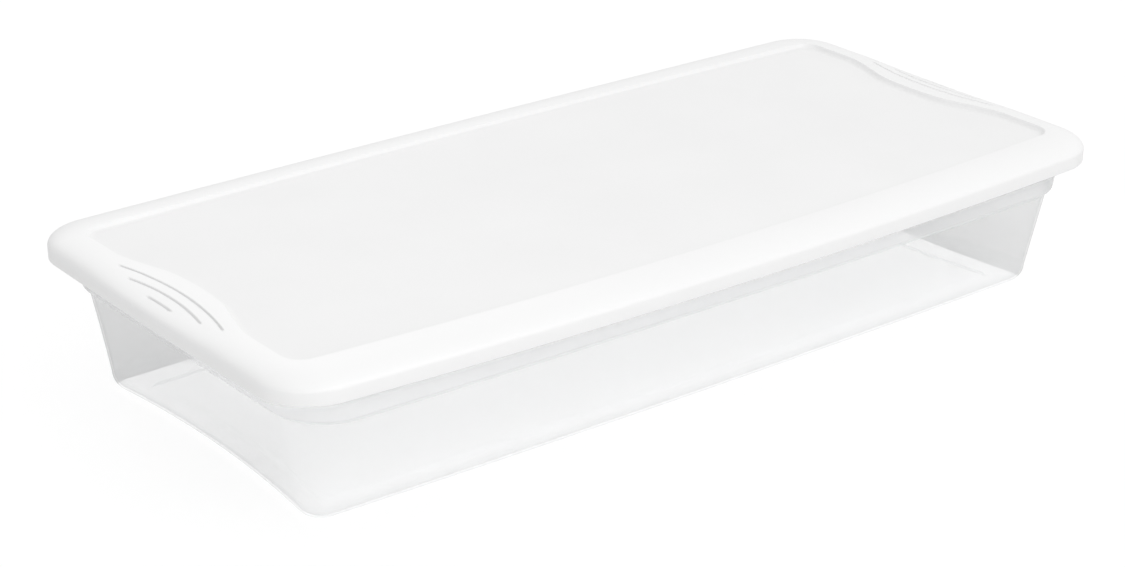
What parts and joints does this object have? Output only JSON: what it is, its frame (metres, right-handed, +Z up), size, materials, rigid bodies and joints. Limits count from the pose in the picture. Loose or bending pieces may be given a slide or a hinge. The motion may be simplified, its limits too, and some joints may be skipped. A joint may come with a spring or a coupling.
{
  "type": "under bed box",
  "caption": "Shallow see-through storage tub with rounded corners, drafted walls and a carrying rim, closed by a white lift-off lid with a recessed panel and grip tabs.",
  "frame": {"origin": "middle of the footprint, on the surface the box stands on", "axes": "+X along the long side, +Y across, +Z up"},
  "size_m": [0.886, 0.43, 0.147],
  "materials": {
    "clear_plastic": "clear polypropylene, slightly frosted",
    "white_plastic": "satin border, finely grained panel"
  },
  "bodies": {
    "tub": {"tub": "clear_plastic"},
    "lid": {"lid": "white_plastic"}
  },
  "joints": [
    {"name": "lid_lift", "type": "slide", "parent": "tub", "child": "lid", "axis": [0, 0, 1], "range_m": [0, 0.25]}
  ]
}
